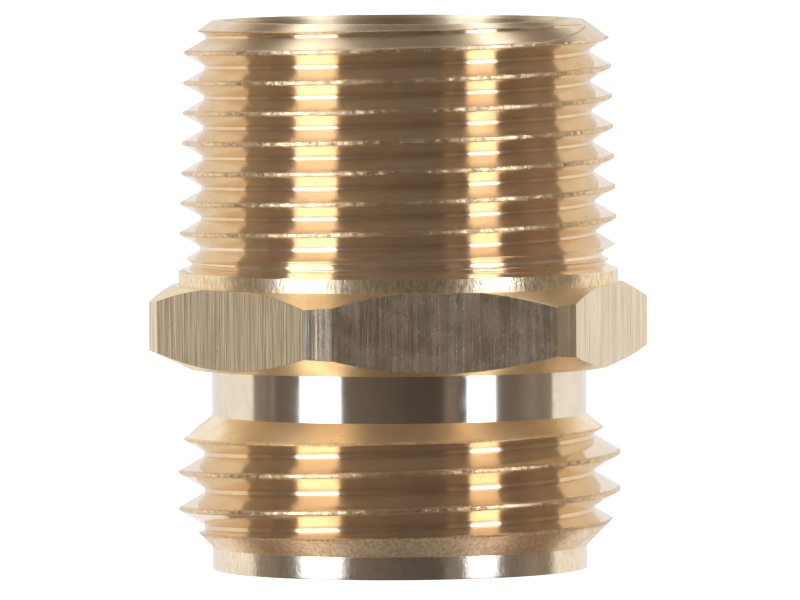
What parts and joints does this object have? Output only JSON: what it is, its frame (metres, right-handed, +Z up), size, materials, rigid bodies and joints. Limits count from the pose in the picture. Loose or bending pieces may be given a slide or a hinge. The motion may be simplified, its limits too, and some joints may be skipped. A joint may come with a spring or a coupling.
{
  "type": "threaded pipe to hose adapter",
  "caption": "Brass adapter with a tapered male pipe thread on top, a wrench hexagon and a male garden hose thread below, and a waterway right through.",
  "frame": {"origin": "centre of the hose end's flat sealing face, on the waterway's axis, at the bottom of the part", "axes": "+Z up the waterway's axis, from the hose end to the pipe end; +X and +Y across it, with one hexagon corner 10.8 degrees from +X towards +Y"},
  "size_m": [0.03, 0.0292, 0.0331],
  "materials": {
    "brass": "bare turned brass, bright, with drawn-bar flats on the hexagon"
  },
  "bodies": {
    "root": {"adapter_body": "brass"}
  },
  "joints": []
}
